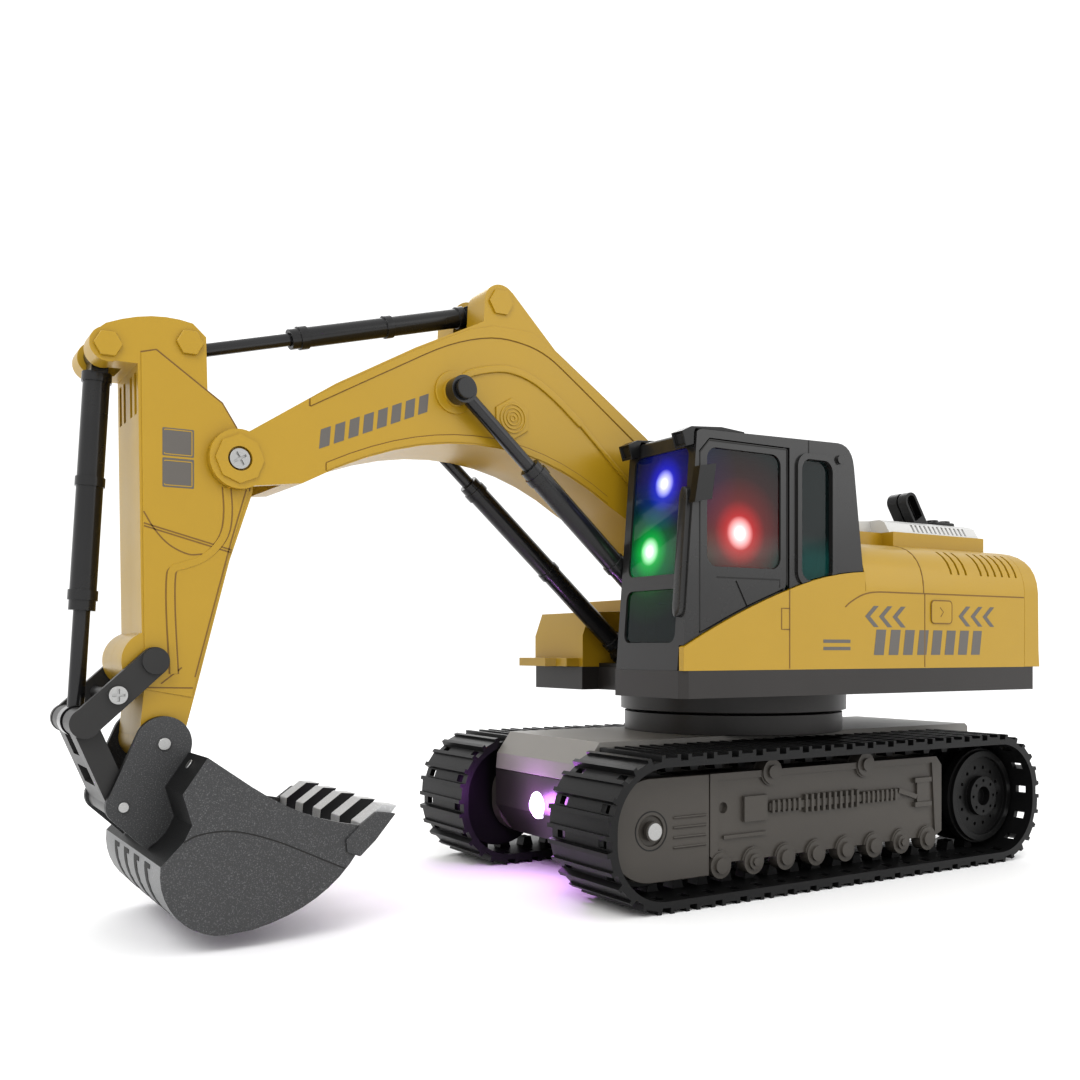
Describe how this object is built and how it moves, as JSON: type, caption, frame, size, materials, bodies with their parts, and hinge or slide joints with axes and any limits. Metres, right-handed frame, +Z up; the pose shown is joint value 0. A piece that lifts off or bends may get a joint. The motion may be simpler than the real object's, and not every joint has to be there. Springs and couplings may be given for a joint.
{
  "type": "toy excavator",
  "caption": "Toy tracked excavator with a slewing house, dark cab, arched boom, stick, toothed bucket and black cylinders on crawler tracks.",
  "frame": {"origin": "centre of the whole toy's footprint at ground level, with the arm in its resting pose", "axes": "+X forward to the bucket, +Y to the toy's left, where the cab is, +Z up"},
  "size_m": [0.3675, 0.1354, 0.2099],
  "materials": {
    "yellow_plastic": "satin ochre yellow moulded plastic",
    "frame_plastic": "grey-brown moulded plastic",
    "track_rubber": "black rubber crawler belt",
    "skirt_plastic": "dark grey moulded plastic",
    "deck_plastic": "mid grey moulded plastic",
    "wheel_plastic": "dark moulded plastic wheels",
    "cab_plastic": "dark grey glossy plastic",
    "tinted_window": "clear tinted plastic window",
    "seat_plastic": "dark cab interior",
    "grille_plastic": "light grey louvred plastic",
    "black_plastic": "gloss black plastic",
    "cylinder_plastic": "gloss black cylinders",
    "rod_metal": "dark smooth cylinder rods",
    "bucket_metal": "speckled charcoal die-cast metal",
    "link_plastic": "dark grey linkage",
    "screw_steel": "bright steel screws and rivets",
    "lamp_lens": "clear lamp lens",
    "led_plastic": "light diode bodies",
    "gear_plastic": "natural nylon gears and gearboxes",
    "motor_steel": "plated motor cans",
    "battery_wrap": "blue wrapped battery cells",
    "board_laminate": "green circuit board laminate"
  },
  "bodies": {
    "undercarriage": {"chassis_deck": "deck_plastic", "chassis_tray": "skirt_plastic", "track_frame_left": "frame_plastic", "track_frame_right": "frame_plastic", "idler_guards": "frame_plastic", "track_belt_left": "track_rubber", "track_belt_right": "track_rubber", "drive_gearboxes": "gear_plastic", "slew_ring": "skirt_plastic", "front_light": "lamp_lens", "battery_pack": "battery_wrap", "battery_door": "skirt_plastic", "chassis_screws": "screw_steel"},
    "sprocket_l": {"sprocket_left": "wheel_plastic"},
    "sprocket_r": {"sprocket_right": "wheel_plastic"},
    "idler_l": {"idler_left": "wheel_plastic"},
    "idler_r": {"idler_right": "wheel_plastic"},
    "switch_knob": {"power_switch": "black_plastic"},
    "house": {"house_base": "skirt_plastic", "boom_bracket": "black_plastic", "side_panel_left": "yellow_plastic", "side_panel_right": "yellow_plastic", "counterweight": "yellow_plastic", "engine_hood": "yellow_plastic", "top_grille": "grille_plastic", "exhaust_stack": "black_plastic", "filler_cover": "black_plastic", "tool_box": "yellow_plastic", "cab_shell": "cab_plastic", "cab_windows": "tinted_window", "cab_interior": "seat_plastic", "roof_lamps": "black_plastic", "cab_leds": "led_plastic", "circuit_board": "board_laminate", "slew_motor": "motor_steel", "boom_motor": "gear_plastic"},
    "pinion": {"slew_pinion": "gear_plastic"},
    "door": {"cab_door": "cab_plastic", "door_window": "tinted_window", "side_mirror": "black_plastic"},
    "boom": {"boom_left": "yellow_plastic", "boom_right": "yellow_plastic", "boom_screws": "screw_steel", "stick_motor": "gear_plastic"},
    "boom_cylinder_l": {"boom_barrel_left": "cylinder_plastic"},
    "boom_cylinder_r": {"boom_barrel_right": "cylinder_plastic"},
    "boom_piston_l": {"boom_rod_left": "rod_metal"},
    "boom_piston_r": {"boom_rod_right": "rod_metal"},
    "stick": {"stick_left": "yellow_plastic", "stick_right": "yellow_plastic", "stick_screws": "yellow_plastic"},
    "stick_cylinder": {"stick_barrel": "cylinder_plastic"},
    "stick_piston": {"stick_rod": "rod_metal"},
    "bucket_cylinder": {"bucket_barrel": "cylinder_plastic"},
    "bucket_piston": {"bucket_rod": "rod_metal"},
    "rocker": {"rocker_arms": "link_plastic"},
    "link": {"bucket_link": "link_plastic"},
    "bucket": {"bucket_shell": "bucket_metal", "bucket_teeth": "bucket_metal", "bucket_rivets": "screw_steel"}
  },
  "joints": [
    {"name": "slew", "type": "hinge", "parent": "undercarriage", "child": "house", "pos_m": [-0.074, 0, 0.0048], "axis": [0, 0, 1], "continuous": true},
    {"name": "sprocket_left_turn", "type": "hinge", "parent": "undercarriage", "child": "sprocket_l", "pos_m": [-0.157, 0.0495, 0.0256], "axis": [0, 1, 0], "continuous": true},
    {"name": "sprocket_right_turn", "type": "hinge", "parent": "undercarriage", "child": "sprocket_r", "pos_m": [-0.157, -0.0495, 0.0256], "axis": [0, 1, 0], "continuous": true},
    {"name": "idler_left_turn", "type": "hinge", "parent": "undercarriage", "child": "idler_l", "pos_m": [0.012, 0.0495, 0.0256], "axis": [0, 1, 0], "continuous": true},
    {"name": "idler_right_turn", "type": "hinge", "parent": "undercarriage", "child": "idler_r", "pos_m": [0.012, -0.0495, 0.0256], "axis": [0, 1, 0], "continuous": true},
    {"name": "switch_slide", "type": "slide", "parent": "undercarriage", "child": "switch_knob", "axis": [1, 0, 0], "range_m": [0, 0.003]},
    {"name": "pinion_turn", "type": "hinge", "parent": "house", "child": "pinion", "pos_m": [-0.1, 0, 0.0048], "axis": [0, 0, 1], "continuous": true},
    {"name": "door_swing", "type": "hinge", "parent": "house", "child": "door", "pos_m": [-0.0424, 0.0628, 0.1298], "axis": [0, 0, 1], "range_deg": [0, 70]},
    {"name": "boom_lift", "type": "hinge", "parent": "house", "child": "boom", "pos_m": [-0.066, 0, 0.1128], "axis": [0, -1, 0], "range_deg": [-12, 25]},
    {"name": "boom_cylinder_left_tilt", "type": "hinge", "parent": "house", "child": "boom_cylinder_l", "pos_m": [-0.035, 0.0224, 0.0838], "axis": [0, -1, 0], "range_deg": [-12.21, 25.39]},
    {"name": "boom_cylinder_right_tilt", "type": "hinge", "parent": "house", "child": "boom_cylinder_r", "pos_m": [-0.035, -0.0224, 0.0838], "axis": [0, -1, 0], "range_deg": [-12.21, 25.39]},
    {"name": "boom_rod_left_slide", "type": "slide", "parent": "boom_cylinder_l", "child": "boom_piston_l", "axis": [0.7478, 0, 0.6639], "range_m": [-0.00901, 0.01866]},
    {"name": "boom_rod_right_slide", "type": "slide", "parent": "boom_cylinder_r", "child": "boom_piston_r", "axis": [0.7478, 0, 0.6639], "range_m": [-0.00901, 0.01866]},
    {"name": "stick_swing", "type": "hinge", "parent": "boom", "child": "stick", "pos_m": [0.1355, 0, 0.1423], "axis": [0, -1, 0], "range_deg": [-15, 30]},
    {"name": "stick_cylinder_tilt", "type": "hinge", "parent": "boom", "child": "stick_cylinder", "pos_m": [0.0455, 0, 0.2038], "axis": [0, -1, 0], "range_deg": [-0.11, 0.17]},
    {"name": "stick_rod_slide", "type": "slide", "parent": "stick_cylinder", "child": "stick_piston", "axis": [0.9656, 0, -0.26], "range_m": [-0.01911, 0.00961]},
    {"name": "bucket_curl", "type": "hinge", "parent": "stick", "child": "bucket", "pos_m": [0.1575, 0, 0.0576], "axis": [0, -1, 0], "range_deg": [-20, 40]},
    {"name": "rocker_tilt", "type": "hinge", "parent": "stick", "child": "rocker", "pos_m": [0.16, 0, 0.0816], "axis": [0, -1, 0], "range_deg": [-15.04, 30.04]},
    {"name": "link_tilt", "type": "hinge", "parent": "rocker", "child": "link", "pos_m": [0.179, 0, 0.0642], "axis": [0, -1, 0], "range_deg": [-23.31, 11.68]},
    {"name": "bucket_cylinder_tilt", "type": "hinge", "parent": "stick", "child": "bucket_cylinder", "pos_m": [0.1725, 0, 0.1723], "axis": [0, -1, 0], "range_deg": [-2.36, 4.67]},
    {"name": "bucket_rod_slide", "type": "slide", "parent": "bucket_cylinder", "child": "bucket_piston", "axis": [0.06, 0, -0.9982], "range_m": [-0.01035, 0.00523]}
  ],
  "couplings": [
    {"joint": "pinion_turn", "follows": "slew", "ratio": 3.3333},
    {"joint": "idler_left_turn", "follows": "sprocket_left_turn", "ratio": 1},
    {"joint": "idler_right_turn", "follows": "sprocket_right_turn", "ratio": 1},
    {"joint": "boom_cylinder_left_tilt", "follows": "boom_lift", "ratio": 0.9938},
    {"joint": "boom_cylinder_right_tilt", "follows": "boom_lift", "ratio": 0.9938},
    {"joint": "boom_rod_left_slide", "follows": "boom_lift", "m_per_rad": 0.041709},
    {"joint": "boom_rod_right_slide", "follows": "boom_lift", "m_per_rad": 0.041709},
    {"joint": "stick_cylinder_tilt", "follows": "stick_swing", "ratio": 0.004},
    {"joint": "stick_rod_slide", "follows": "stick_swing", "m_per_rad": -0.0356},
    {"joint": "rocker_tilt", "follows": "bucket_curl", "ratio": 0.735},
    {"joint": "link_tilt", "follows": "bucket_curl", "ratio": -0.57},
    {"joint": "bucket_cylinder_tilt", "follows": "bucket_curl", "ratio": 0.1132},
    {"joint": "bucket_rod_slide", "follows": "bucket_curl", "m_per_rad": -0.014395}
  ]
}
